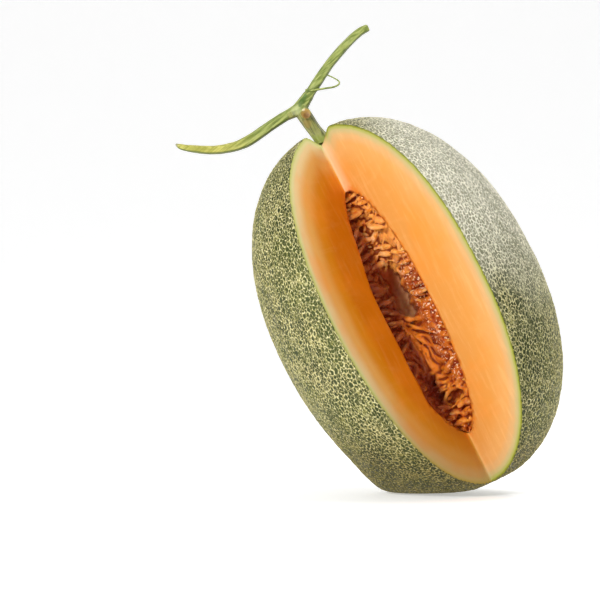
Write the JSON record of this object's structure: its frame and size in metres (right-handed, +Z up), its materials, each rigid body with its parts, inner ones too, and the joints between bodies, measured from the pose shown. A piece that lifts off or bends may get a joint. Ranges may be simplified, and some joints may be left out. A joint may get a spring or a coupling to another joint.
{
  "type": "muskmelon",
  "caption": "Netted muskmelon standing tilted on a flattened spot, with one wedge cut out to show orange flesh and a seed cavity, and a length of vine on its stalk.",
  "frame": {"origin": "centre of the flat spot that the fruit stands on", "axes": "+Z up from the floor; the missing wedge opens towards -Y; the stem end tilts towards -X"},
  "size_m": [0.2118, 0.1412, 0.2567],
  "materials": {
    "rind_and_flesh": "netted green rind, moist orange flesh where cut",
    "pulp_and_seeds": "wet orange pulp with pale seeds",
    "stem": "ribbed green stem, satin"
  },
  "bodies": {
    "root": {"melon_fruit": "rind_and_flesh", "seed_pulp": "pulp_and_seeds", "vine_stem": "stem"}
  },
  "joints": []
}
